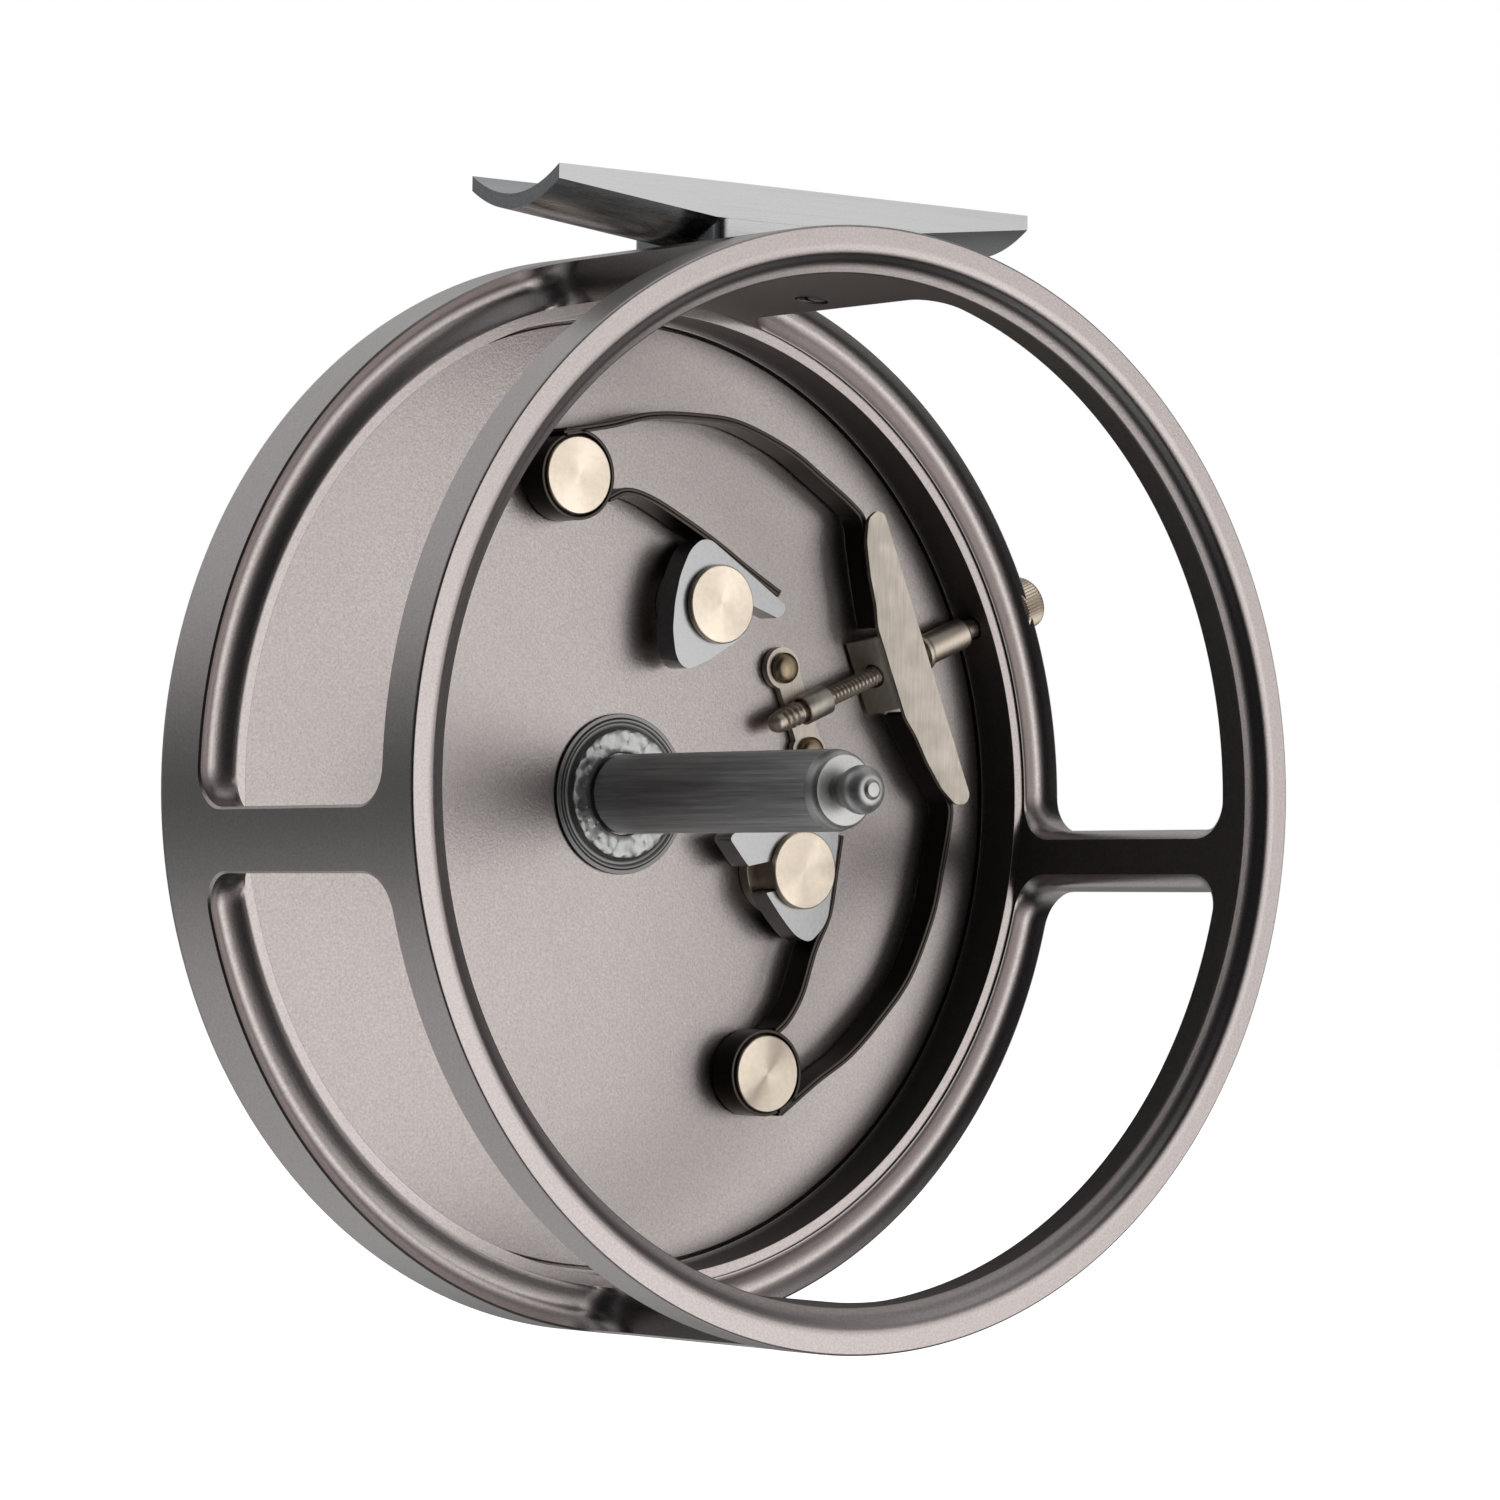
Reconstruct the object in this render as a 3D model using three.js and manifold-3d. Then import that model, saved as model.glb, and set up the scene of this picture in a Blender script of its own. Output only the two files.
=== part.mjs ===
// Fly reel without its spool: a one-piece turned and milled cage with a back plate, a rod foot,
// a spindle for the spool, and a sprung check with two pawls and a screw regulator.
// Millimetres, +Z up. The reel's axis is Y and its open front faces -Y.
import * as THREE from 'three'
import { mergeVertices } from 'three/addons/utils/BufferGeometryUtils.js'
import Module from 'manifold-3d'

// ---- driving dimensions --------------------------------------------------
// Y counts from the front face of the cage, radii from the spindle's axis.
const rimRadius = 52.4            // 4 1/8 inch cage
const bore = 48                   // inside the front ring and the pillars
const frontRingDepth = 4.75
const rearRingStart = 33.7
const stepDepth = 34.5            // narrow step inside the rear ring
const recessRadius = 46.9
const floorDepth = 39.3           // front face of the back plate
const shelfDepth = 40.2           // where the back plate's flange seats
const backDepth = 41.2
const plateBack = 41.3
const gap = 0.3                   // between pieces that rest on each other
const ringSegments = 60

// Windows between the pillars, in degrees from +X towards +Z.
const sidePillar = { low: -9.6, high: -2.9 }
const topPillar = { low: 76.6, high: 103.4 }
const bottomPillar = { low: 265.8, high: 274.2 }
const windowCorner = 3
const coveDepth = 1.2

// Rod foot: a trough 57 mm long on a pedestal.
const footHalfLength = 28.4
const footFront = 12.25
const footBack = 25.9
const footCentre = (footFront + footBack) / 2
const footTop = 56.9
const troughDepth = 2.2
const footEndThickness = 1.4
const footDrop = 2.0              // how much deeper the sides are at the pedestal
const footTaperFrom = 10.04
const pedestalHalf = 9.6
const pocketHalf = 11.2
const seatHeight = 49.5           // flat milled in the top pillar
const footScrewX = 7

// Check mechanism: its own frame lies on the back plate, u along the regulator screw,
// v across it, h up from the plate towards the open front.
const checkAngle = 22.75
const springPost = { u: 4.3, v: 31.4, radius: 3.8, top: 3.7 }
const pawlPost = { u: 15.2, v: 14.05, neck: 3.3, flange: 4.5, cap: 3.9, top: 5.05 }
const pawlLow = 1.6
const pawlTop = 4.3
const pawlBore = 3.5
const pawlSlot = 3
const stripLow = 0.3
const stripTop = 3.4
const stripThickness = 0.6
const coilInner = 4.05
const coilOuter = 4.8
const screwHeight = 2.1
const threadRadius = 0.98
const screwClearance = 1.25       // bores that the screw turns in
const rivet = { u: 23.1, v: 4.5, head: 1.55, shank: 0.8 }
const shankRadius = 1.6
const shankClearance = 0.25

// ---- materials -------------------------------------------------------------
function metal(color, roughness) {
  return new THREE.MeshStandardMaterial({ color, roughness, metalness: 1 })
}

const pewter = () => metal(0xa8a29f, 0.5)
const polished = () => metal(0xc4c4c8, 0.25)
const darkSteel = () => metal(0x6e6c6e, 0.3)
const brass = () => metal(0xb9a584, 0.3)
const agedBrass = () => metal(0x8d7a5b, 0.4)
const nickelSilver = () => metal(0xa79c8c, 0.35)
const blackSteel = () => metal(0x1d1d1f, 0.4)
const pawlSteel = () => metal(0x8d959d, 0.4)

// ---- solids ----------------------------------------------------------------
const wasm = await Module()
wasm.setup()

// Vertices are rounded to a tenth of a micron, so that faces meant to be level are exactly level.
function toSolid(geometry) {
  const bare = geometry.clone()
  bare.deleteAttribute('normal')
  bare.deleteAttribute('uv')
  const values = bare.attributes.position.array
  for (let i = 0; i < values.length; i++) values[i] = Math.round(values[i] * 1e4) / 1e4
  const merged = mergeVertices(bare, 1e-4)
  const mesh = new wasm.Mesh({
    numProp: 3,
    vertProperties: new Float32Array(merged.attributes.position.array),
    triVerts: new Uint32Array(merged.index.array),
  })
  return new wasm.Manifold(mesh)
}

function toGeometry(solid) {
  const mesh = solid.getMesh()
  const geometry = new THREE.BufferGeometry()
  geometry.setAttribute('position', new THREE.BufferAttribute(new Float32Array(mesh.vertProperties), 3))
  geometry.setIndex(new THREE.BufferAttribute(new Uint32Array(mesh.triVerts), 1))
  geometry.computeVertexNormals()
  return geometry
}

const join = (first, ...others) => others.reduce((sum, other) => sum.add(other), first)
const cut = (first, ...others) => others.reduce((rest, other) => rest.subtract(other), first)

// A profile of [radius, distance along the axis] turned about Y.
function turned(profile, segments = 24) {
  const points = profile.map(([radius, along]) => new THREE.Vector2(radius, along))
  return new THREE.LatheGeometry(points, segments)
}

// The same, turned about local Z (h) or about local X (u).
const turnedAboutH = (profile, segments) => turned(profile, segments).rotateX(Math.PI / 2)
const turnedAboutU = (profile, segments) => turned(profile, segments).rotateZ(-Math.PI / 2)

function outline(points) {
  return new THREE.Shape(points.map(([x, y]) => new THREE.Vector2(x, y)))
}

function extruded(shape, low, high, curveSegments = 12) {
  const options = { depth: high - low, bevelEnabled: false, curveSegments }
  return new THREE.ExtrudeGeometry(shape, options).translate(0, 0, low)
}

function disc(radius, low, high, segments = 24) {
  return turnedAboutH([[0, low], [radius, low], [radius, high], [0, high]], segments)
}

// From the check's frame (u, v, h) to the reel's axes.
const turn = THREE.MathUtils.degToRad(checkAngle)
const checkFrame = new THREE.Matrix4()
  .makeBasis(
    new THREE.Vector3(Math.cos(turn), 0, Math.sin(turn)),
    new THREE.Vector3(-Math.sin(turn), 0, Math.cos(turn)),
    new THREE.Vector3(0, -1, 0),
  )
  .setPosition(0, floorDepth, 0)

// ---- the assembly: the origin is the middle of the foot's trough --------------
const reel = new THREE.Group()
const cageAxes = new THREE.Group()
cageAxes.position.set(0, -footCentre, troughDepth - footTop)
reel.add(cageAxes)
const checkAxes = new THREE.Group()
checkAxes.applyMatrix4(checkFrame)
cageAxes.add(checkAxes)

function place(parent, name, geometry, material) {
  const mesh = new THREE.Mesh(geometry, material)
  mesh.name = name
  parent.add(mesh)
}

// ---- cage -------------------------------------------------------------------
const cageProfile = [
  [52, 0], [rimRadius, 0.4], [rimRadius, 40.3], [51.6, backDepth],
  [49.3, backDepth], [49.3, shelfDepth], [46.5, shelfDepth], [46.5, 39.4], [recessRadius, 39],
  [recessRadius, stepDepth], [bore, stepDepth], [bore, 0.8], [48.4, 0.55], [49.2, 0.65], [50, 0],
  [52, 0],
]

// Annular sector between two angles, standing along Y.
function sector(inner, outer, from, to, front, back) {
  const low = THREE.MathUtils.degToRad(from)
  const high = THREE.MathUtils.degToRad(to)
  const shape = new THREE.Shape()
  shape.absarc(0, 0, outer, low, high, false)
  shape.absarc(0, 0, inner, high, low, true)
  return extruded(shape, -back, -front, 8).rotateX(Math.PI / 2)
}

// The end of a window: a slot milled radially, its round corners against the pillar.
function windowEnd(angle, side) {
  const half = 4
  const corner = windowCorner
  const front = frontRingDepth
  const back = rearRingStart
  const shape = new THREE.Shape()
  shape.moveTo(-half, front + corner)
  shape.absarc(corner - half, front + corner, corner, Math.PI, 1.5 * Math.PI, false)
  shape.absarc(half - corner, front + corner, corner, 1.5 * Math.PI, 2 * Math.PI, false)
  shape.absarc(half - corner, back - corner, corner, 0, 0.5 * Math.PI, false)
  shape.absarc(corner - half, back - corner, corner, 0.5 * Math.PI, Math.PI, false)
  const slot = extruded(shape, 44, 56, 4).translate(side * half, 0, 0)
  const radians = THREE.MathUtils.degToRad(angle)
  const radial = new THREE.Vector3(Math.cos(radians), 0, Math.sin(radians))
  const across = new THREE.Vector3(Math.sin(radians), 0, -Math.cos(radians))
  const frame = new THREE.Matrix4().makeBasis(across, new THREE.Vector3(0, 1, 0), radial)
  return toSolid(slot.applyMatrix4(frame))
}

// One window from pillar to pillar, with the cove that hollows the rear ring's front side.
function windowCutter(from, to) {
  const inset = 4.7
  const middle = toSolid(sector(47, 54, from + inset, to - inset, frontRingDepth, rearRingStart))
  const reach = toSolid(sector(47, 54, from + 3, to - 3, rearRingStart - 1, rearRingStart + 2))
  return join(middle, windowEnd(from, -1), windowEnd(to, 1), cove.intersect(reach))
}

// Ring of lens section whose back half is the cove.
function coveRing() {
  const middle = (bore + rimRadius) / 2
  const half = (rimRadius - bore) / 2
  const reach = 1.2
  const front = rearRingStart - 1
  const profile = [[middle - reach * half, front], [middle + reach * half, front]]
  const steps = 5
  for (let i = 0; i <= steps; i++) {
    const across = reach * (1 - (2 * i) / steps)
    profile.push([middle + across * half, rearRingStart + coveDepth * (1 - across * across)])
  }
  profile.push(profile[0])
  return toSolid(turned(profile, ringSegments))
}

const cove = coveRing()
const windows = [
  windowCutter(sidePillar.high, topPillar.low),
  windowCutter(topPillar.high, 180 - sidePillar.high),
  windowCutter(180 - sidePillar.low, bottomPillar.low),
  windowCutter(bottomPillar.high, 360 + sidePillar.low),
]

// Flat pocket in the top pillar where the foot's pedestal stands.
function footPocket() {
  const depth = footBack - footFront + 2 * gap
  const box = new THREE.BoxGeometry(2 * pocketHalf, depth, 6)
  return toSolid(box.translate(0, footCentre, seatHeight + 3))
}

// Countersunk screw along Z; grow is the clearance of the hole that takes it.
function footScrew(side, grow) {
  const profile = [
    [0, 47.25 - grow * 4], [1.4 + grow, 47.25 - grow * 4], [1.4 + grow, 48.3], [0.9 + grow, 48.8],
    [0.9 + grow, 52.4 + grow], [0, 52.4 + grow],
  ]
  return turnedAboutH(profile, 20).translate(side * footScrewX, footCentre, 0)
}

// The regulator's hole through the rear ring, and the spot face under its knob.
function regulatorHole() {
  const hole = turnedAboutU([[0, 45], [screwClearance, 45], [screwClearance, 54], [0, 54]])
  const spotFace = turnedAboutU([[0, 51.9], [3.3, 51.9], [3.3, 56], [0, 56]])
  const both = [hole, spotFace].map((geometry) =>
    toSolid(geometry.translate(0, 0, screwHeight).applyMatrix4(checkFrame)))
  return join(...both)
}

const frameSolid = cut(
  toSolid(turned(cageProfile, ringSegments)), ...windows, footPocket(), regulatorHole(),
  toSolid(footScrew(-1, 0.2)), toSolid(footScrew(1, 0.2)))
place(cageAxes, 'frame', toGeometry(frameSolid), pewter())

// ---- back plate ---------------------------------------------------------------
const spindleShank = 3
const shanks = [
  [springPost.u, springPost.v, shankRadius], [springPost.u, -springPost.v, shankRadius],
  [pawlPost.u, pawlPost.v, shankRadius], [pawlPost.u, -pawlPost.v, shankRadius],
  [rivet.u, rivet.v, rivet.shank], [rivet.u, -rivet.v, rivet.shank],
]

function backPlate() {
  const flangeRadius = 49
  const spigotRadius = 46.2
  const profile = [
    [0, floorDepth], [spigotRadius, floorDepth], [spigotRadius, shelfDepth + 0.2],
    [flangeRadius, shelfDepth + 0.2], [flangeRadius, plateBack], [0, plateBack],
  ]
  const plate = toSolid(turned(profile, ringSegments))
  const holes = shanks.map(([u, v, radius]) => {
    const hole = disc(radius + shankClearance, -3, 1, 16).translate(u, v, 0)
    return toSolid(hole.applyMatrix4(checkFrame))
  })
  const centre = toSolid(turned([[0, 38], [spindleShank + 0.2, 38], [spindleShank + 0.2, 42], [0, 42]]))
  return cut(plate, centre, ...holes)
}

place(cageAxes, 'back_plate', toGeometry(backPlate()), pewter())

// ---- rod foot -----------------------------------------------------------------
// A trough-shaped strip whose underside drops towards the pedestal.
function footStrip() {
  const half = (footBack - footFront) / 2
  const facets = 9
  const shape = new THREE.Shape()
  shape.moveTo(-half, footTop - footEndThickness)
  shape.lineTo(-half, footTop)
  for (let i = 1; i < facets; i++) {
    const across = (2 * i) / facets - 1
    shape.lineTo(across * half, footTop - troughDepth * (1 - across ** 2) / (1 - 1 / facets ** 2))
  }
  shape.lineTo(half, footTop)
  shape.lineTo(half, footTop - footEndThickness)
  for (let i = 1; i < facets; i++) {
    const across = 1 - (2 * i) / facets
    shape.lineTo(across * half, footTop - footEndThickness - troughDepth * (1 - across ** 2))
  }
  const steps = 17
  const depth = 2 * footHalfLength
  const strip = new THREE.ExtrudeGeometry(shape, { depth, steps, bevelEnabled: false })
  strip.translate(0, 0, -footHalfLength)
  // Local x lies across the foot, y up, z along it.
  const frame = new THREE.Matrix4().makeBasis(
    new THREE.Vector3(0, 1, 0), new THREE.Vector3(0, 0, 1), new THREE.Vector3(1, 0, 0))
  strip.applyMatrix4(frame).translate(0, footCentre, 0)
  const position = strip.attributes.position
  for (let i = 0; i < position.count; i++) {
    const across = (position.getY(i) - footCentre) / half
    const under = footTop - footEndThickness - troughDepth * (1 - across ** 2)
    if (position.getZ(i) > under + 0.01) continue
    const along = Math.max(Math.abs(position.getX(i)), footTaperFrom)
    const share = (footHalfLength - along) / (footHalfLength - footTaperFrom)
    position.setZ(i, position.getZ(i) - footDrop * share)
  }
  return toSolid(strip)
}

function pedestal() {
  const low = seatHeight + gap
  const high = footTop - troughDepth - 1.2
  const box = new THREE.BoxGeometry(2 * pedestalHalf, footBack - footFront - 0.01, high - low)
  return toSolid(box.translate(0, footCentre, (low + high) / 2))
}

const foot = cut(join(footStrip(), pedestal()), toSolid(footScrew(-1, 0.2)), toSolid(footScrew(1, 0.2)))
place(cageAxes, 'reel_foot', toGeometry(foot), polished())
place(cageAxes, 'foot_screw_left', footScrew(-1, 0), darkSteel())
place(cageAxes, 'foot_screw_right', footScrew(1, 0), darkSteel())

// ---- spindle --------------------------------------------------------------------
const spindleProfile = [
  [0, 0.1], [0.8, 0.15], [1, 0.45], [1.5, 0.55], [2.2, 1.2], [2.35, 2.1], [2, 3], [1.6, 3.6], [1.6, 4.35],
  [3.5, 4.4], [3.85, 5], [3.9, 5.6], [3.9, 38.2], [spindleShank, 38.4], [spindleShank, 41.1],
  [1.9, 41.1], [1.9, 37.5], [0, 37.5],
]
place(cageAxes, 'spindle', turned(spindleProfile, 28), darkSteel())

// The spool runs against this staked collar.
const collarProfile = [
  [4.1, 39.1], [4.1, 38.45], [4.7, 38.35], [6.3, 38.35], [6.6, 38.8], [7.3, 38.95], [7.87, 38.9],
  [7.87, 39.1], [4.1, 39.1],
]
place(cageAxes, 'spindle_collar', turned(collarProfile, 28), darkSteel())

const screwProfile = [
  [0, 38], [1.6, 38], [1.6, 41.5], [4.6, 41.5], [4.4, 42.1], [3, 42.6], [0, 42.8],
]
place(cageAxes, 'spindle_screw', turned(screwProfile, 24), darkSteel())

// ---- posts ------------------------------------------------------------------------
for (const [name, side] of [['upper', 1], ['lower', -1]]) {
  const post = springPost
  const springPostProfile = [
    [0, -2.1], [shankRadius, -2.1], [shankRadius, 0.1], [post.radius, 0.1],
    [post.radius, post.top - 0.15], [post.radius - 0.2, post.top], [0, post.top - 0.1],
  ]
  const spring = turnedAboutH(springPostProfile, 24).translate(post.u, side * post.v, 0)
  place(checkAxes, `${name}_spring_post`, spring, brass())

  const { neck, flange, cap, top } = pawlPost
  const pawlPostProfile = [
    [0, -2.1], [shankRadius, -2.1], [shankRadius, 0.1], [flange, 0.1], [flange, 1.4], [neck, 1.4],
    [neck, pawlTop + 0.15], [cap, pawlTop + 0.15], [cap, top - 0.15], [cap - 0.2, top], [0, top - 0.1],
  ]
  const pawl = turnedAboutH(pawlPostProfile, 24).translate(pawlPost.u, side * pawlPost.v, 0)
  place(checkAxes, `${name}_pawl_post`, pawl, brass())
}

// ---- pawls --------------------------------------------------------------------------
// Rounded triangles around their posts, each with an open slot; points count from the post.
const upperPawl = [
  [7.4, -3.75], [7.9, -3.15], [7.7, -2.65], [1.5, 6.25], [0.3, 6.65], [-1.3, 6.15], [-3.3, 4.35],
  [-4.9, 2.15], [-6.2, -0.35], [-6.75, -2.65], [-6.6, -3.85], [-5.8, -4.65], [-3.3, -4.7], [1.2, -4.15],
]
const lowerPawl = [
  [-7.15, 6.15], [-6.3, 3.55], [-5.3, 1.2], [-4.8, -0.9], [-3.95, -3.65], [-3, -5.9], [-1.6, -7.15],
  [0.4, -6.45], [1.5, -5.65], [5.6, 1.05], [6.2, 2.6], [5.5, 3.8], [0, 5.3], [-6.5, 6.5],
]

function pawl(points, slotAngle, side) {
  const body = toSolid(extruded(outline(points), pawlLow, pawlTop))
  const postBore = toSolid(disc(pawlBore, pawlLow - 1, pawlTop + 1))
  const slot = new THREE.BoxGeometry(10, pawlSlot, 6).translate(5, 0, 3)
  slot.rotateZ(THREE.MathUtils.degToRad(slotAngle))
  const opened = cut(body, postBore, toSolid(slot))
  return toGeometry(opened).translate(pawlPost.u, side * pawlPost.v, 0)
}

place(checkAxes, 'upper_pawl', pawl(upperPawl, -42, 1), pawlSteel())
place(checkAxes, 'lower_pawl', pawl(lowerPawl, 168, -1), pawlSteel())

// ---- springs ----------------------------------------------------------------------------
// A strip stood on edge along a smooth line through the points given.
function strip(points) {
  const line = new THREE.CatmullRomCurve3(points.map(([x, y]) => new THREE.Vector3(x, y, 0)))
  const steps = 3 * points.length
  const left = []
  const right = []
  for (let i = 0; i <= steps; i++) {
    const centre = line.getPointAt(i / steps)
    const along = line.getTangentAt(i / steps)
    const across = new THREE.Vector2(-along.y, along.x).multiplyScalar(stripThickness / 2)
    left.push([centre.x + across.x, centre.y + across.y])
    right.unshift([centre.x - across.x, centre.y - across.y])
  }
  return toSolid(extruded(outline([...left, ...right]), stripLow, stripTop))
}

// Coil round the post, an outer arm to the saddle and an inner arm along the pawl's flat.
function spring(outerArm, innerArm, side) {
  const ring = [
    [coilInner, stripLow], [coilOuter, stripLow], [coilOuter, stripTop], [coilInner, stripTop],
    [coilInner, stripLow],
  ]
  const coil = toSolid(turnedAboutH(ring, 24).translate(springPost.u, side * springPost.v, 0))
  return toGeometry(join(coil, strip(outerArm), strip(innerArm)))
}

// The outer arm bends under the tip of the saddle and runs along its wing to the leg.
const upperOuterArm = [
  [4.6, 35.8], [10, 34.6], [15, 33.8], [20, 32], [25, 29.5], [30, 25], [33, 21], [35.6, 17.2],
  [36.4, 15.2], [35.8, 12.4], [35.1, 9], [34.7, 6.8], [34.4, 5.4],
]
const upperInnerArm = [
  [7.1, 28], [9.5, 27.9], [12, 26.2], [15, 23], [18, 19.4], [20.6, 15.9], [23.6, 12.1],
]
const lowerOuterArm = upperOuterArm.map(([u, v]) => [u, -v])
const lowerInnerArm = [
  [7.1, -28.1], [9, -27.5], [11.5, -25.8], [14.6, -22.4], [17.6, -19.8], [20.1, -16], [22, -13],
]
place(checkAxes, 'upper_spring', spring(upperOuterArm, upperInnerArm, 1), blackSteel())
place(checkAxes, 'lower_spring', spring(lowerOuterArm, lowerInnerArm, -1), blackSteel())

// ---- regulator ------------------------------------------------------------------------------
const alongScrew = (profile, segments = 20) =>
  turnedAboutU(profile, segments).translate(0, 0, screwHeight)
const headNeck = 1.05
const screwLine = [
  [0, 18.5], [0.7, 18.7], [1.2, 19.4], [1.2, 22.4], [threadRadius, 22.6], [threadRadius, 54.5], [0, 54.5],
]
place(checkAxes, 'regulator_screw', alongScrew(screwLine), nickelSilver())

function sleeve(name, bore, radius, from, to, material) {
  const profile = [[bore, from], [radius, from], [radius, to], [bore, to], [bore, from]]
  place(checkAxes, name, alongScrew(profile), material)
}

sleeve('regulator_washer', headNeck + 0.1, 2, 39.2, 39.7, nickelSilver())
sleeve('regulator_barrel', headNeck + 0.1, 1.6, 39.9, 45.4, nickelSilver())
sleeve('regulator_knob', headNeck + 0.1, 2.7, 52.2, 55, nickelSilver())

// Strap with two ears and the sleeve that steadies the screw.
function screwBracket() {
  const low = 0.15
  const high = 0.95
  const ears = [1, -1].map((side) => toSolid(disc(2.1, low, high).translate(rivet.u, side * rivet.v, 0)))
  const strapBox = new THREE.BoxGeometry(3, 2 * rivet.v, high - low)
  const strap = toSolid(strapBox.translate(rivet.u + 0.3, 0, (low + high) / 2))
  const tube = toSolid(alongScrew([[0, 22.9], [1.5, 22.9], [1.5, 26], [0, 26]]))
  const screwBore = toSolid(alongScrew([[0, 20], [screwClearance, 20], [screwClearance, 28], [0, 28]]))
  const holes = [1, -1].map((side) =>
    toSolid(disc(rivet.shank + 0.2, -1, 2, 16).translate(rivet.u, side * rivet.v, 0)))
  return cut(join(strap, ...ears, tube), screwBore, ...holes)
}

place(checkAxes, 'screw_bracket', toGeometry(screwBracket()), nickelSilver())

for (const [name, side] of [['upper', 1], ['lower', -1]]) {
  const { head, shank } = rivet
  const profile = [
    [0, -2.1], [shank, -2.1], [shank, 1.1], [head, 1.1], [head, 1.4],
    [head * 0.8, 1.75], [head * 0.4, 1.95], [0, 2],
  ]
  const solid = turnedAboutH(profile, 20).translate(rivet.u, side * rivet.v, 0)
  place(checkAxes, `${name}_bracket_rivet`, solid, agedBrass())
}

// Folded sheet that carries the ends of the springs' outer arms.
function saddle() {
  const face = [
    [38.6, 15.2], [37.8, 15.8], [36.5, 15.4], [35.4, 13.3], [34.6, 10], [34.2, 7], [33.6, 4.9],
    [33.6, -4.9], [34.2, -7], [34.6, -10], [35.4, -13.3], [36.5, -15.4], [37.8, -15.8], [38.6, -15.2],
  ]
  const faceLow = 3.65
  const faceTop = 4.15
  const legBottom = 0.4
  const thickness = 0.6
  const half = 3.9
  const channel = [
    [31.9, legBottom], [31.9 + thickness, legBottom], [33.6 + thickness, faceLow], [38, faceLow],
    [38, legBottom], [38.6, legBottom], [38.6, faceTop - 0.1], [33.6, faceTop - 0.1],
  ]
  // The channel's outline is drawn in (u, h) and extruded across v.
  const legs = extruded(outline(channel), -half, half).rotateX(Math.PI / 2)
  const screwBore = alongScrew([[0, 30], [screwClearance, 30], [screwClearance, 39], [0, 39]])
  const sheet = toSolid(extruded(outline(face), faceLow, faceTop))
  return cut(join(sheet, toSolid(legs)), toSolid(screwBore))
}

place(checkAxes, 'regulator_saddle', toGeometry(saddle()), nickelSilver())

export default reel
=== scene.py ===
"""Fly reel without its spool: looks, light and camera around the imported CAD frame.

Shapes are in millimetres in the reel's own axes and are placed by one matrix each: x along the
foot, y along the spindle from the open front to the back plate, and z up, with the spindle at
x = z = 0. The check lies on the back plate in a turned frame of its own: u along the regulator
screw, v across it, and h up from the plate towards the open front.
"""

import math

import bmesh
import bpy
from mathutils import Matrix, Vector


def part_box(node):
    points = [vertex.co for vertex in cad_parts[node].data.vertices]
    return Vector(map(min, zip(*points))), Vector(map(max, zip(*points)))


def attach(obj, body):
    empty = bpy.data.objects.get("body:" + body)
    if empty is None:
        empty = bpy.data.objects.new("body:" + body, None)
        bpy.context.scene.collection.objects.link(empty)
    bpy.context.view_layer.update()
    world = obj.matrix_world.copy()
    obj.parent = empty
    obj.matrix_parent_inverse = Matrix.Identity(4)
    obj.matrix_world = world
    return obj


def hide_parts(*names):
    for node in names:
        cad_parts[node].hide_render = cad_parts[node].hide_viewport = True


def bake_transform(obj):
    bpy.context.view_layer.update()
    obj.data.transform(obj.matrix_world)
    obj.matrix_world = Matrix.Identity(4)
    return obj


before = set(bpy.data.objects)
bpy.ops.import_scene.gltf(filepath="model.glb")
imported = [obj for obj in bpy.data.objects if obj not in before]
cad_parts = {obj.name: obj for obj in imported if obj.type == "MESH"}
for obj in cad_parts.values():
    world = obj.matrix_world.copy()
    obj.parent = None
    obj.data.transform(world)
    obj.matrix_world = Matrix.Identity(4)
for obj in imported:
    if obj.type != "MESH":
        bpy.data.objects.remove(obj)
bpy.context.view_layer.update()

# ---- places taken from the CAD frame ---------------------------------------------------
MM = 0.001
cage_low, cage_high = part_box("frame")
RIM = (cage_high.x - cage_low.x) / 2 / MM
AXIS_Z = (cage_low.z + cage_high.z) / 2
REEL = Matrix.Translation((0, cage_low.y, AXIS_Z)) @ Matrix.Scale(MM, 4)
FLOOR = (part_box("back_plate")[0].y - cage_low.y) / MM
CHECK_ANGLE = math.radians(22.75)
U_AXIS = Vector((math.cos(CHECK_ANGLE), 0, math.sin(CHECK_ANGLE)))
V_AXIS = Vector((-math.sin(CHECK_ANGLE), 0, math.cos(CHECK_ANGLE)))
H_AXIS = Vector((0, -1, 0))
CHECK_AXES = Matrix((U_AXIS, V_AXIS, H_AXIS)).transposed().to_4x4()
CHECK = REEL @ Matrix.Translation((0, FLOOR, 0)) @ CHECK_AXES
SCREW_HEIGHT = 2.1

# For turned pieces, whose local z is their axis: along the spindle and along the regulator screw.
ALONG_Y = REEL @ Matrix.Rotation(-math.pi / 2, 4, "X")
ALONG_U = CHECK @ Matrix.Translation((0, 0, SCREW_HEIGHT)) @ Matrix.Rotation(math.pi / 2, 4, "Y")

# ---- cage dimensions -------------------------------------------------------------------
# Radii from the spindle's axis, distances back from the open front, pillar edges in degrees.
BORE = 48.0
FRONT_RING = 4.75
REAR_RING = 33.7
REAR_LIP = 0.5
STEP = 34.5
RECESS = 46.9
BACK = 41.2
SIDE_PILLAR = (-9.6, -2.9)
TOP_PILLAR = (76.6, 103.4)
BOTTOM_PILLAR = (265.8, 274.2)
WINDOW_CORNER = 3.7
PILLAR_ROUND = 1.8
COVE_DEPTH = 1.25
EDGE_BREAK = 0.22
SEAT = 49.5
POCKET = (22.4, 14.25)
CORNER_STEPS = 10
WINDOW_STEPS = 60
WALL_STEPS = 10

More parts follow.
